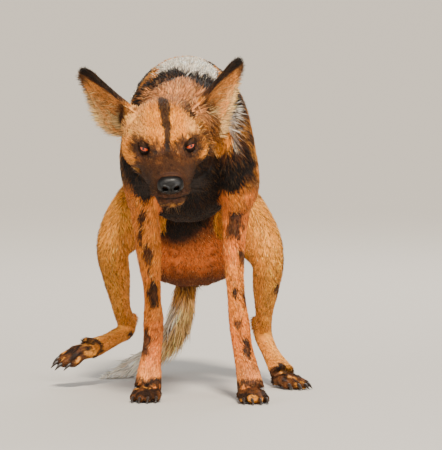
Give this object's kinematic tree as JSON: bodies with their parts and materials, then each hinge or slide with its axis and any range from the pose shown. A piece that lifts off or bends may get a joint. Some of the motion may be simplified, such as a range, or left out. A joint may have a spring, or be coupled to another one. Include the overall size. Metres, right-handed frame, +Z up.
{
  "type": "african wild dog",
  "caption": "Life-size still model of an African wild dog squatting with its head low, a hind foot lifted and its bushy tail laid on the floor.",
  "frame": {"origin": "on the floor under the middle of the dog's bounding box", "axes": "+Z up, the dog faces -Y, and its left side is towards +X"},
  "size_m": [0.4686, 0.7252, 0.5983],
  "materials": {
    "tan_coat": "short tan fur",
    "mottled_coat": "short fur in black, tan and white blotches",
    "dark_coat": "short brown-black fur",
    "white_coat": "long off-white hair",
    "nose_leather": "moist black nose leather",
    "iris": "wet orange-brown eye"
  },
  "bodies": {
    "root": {"chest": "mottled_coat", "ear_left": "tan_coat", "ear_right": "tan_coat", "eye_left": "iris", "eye_right": "iris", "fore_leg_left": "tan_coat", "fore_leg_right": "tan_coat", "fore_paw_left": "dark_coat", "fore_paw_right": "dark_coat", "head": "tan_coat", "hind_pastern_left": "tan_coat", "hind_pastern_right": "tan_coat", "hind_paw_left": "dark_coat", "hind_paw_right": "dark_coat", "hind_shank_left": "tan_coat", "hind_shank_right": "tan_coat", "hind_thigh_left": "tan_coat", "hind_thigh_right": "tan_coat", "loin": "mottled_coat", "lower_jaw": "dark_coat", "neck": "tan_coat", "nose": "nose_leather", "rump": "mottled_coat", "tail_base": "mottled_coat", "tail_brush": "tan_coat", "tail_tip": "white_coat"}
  },
  "joints": []
}
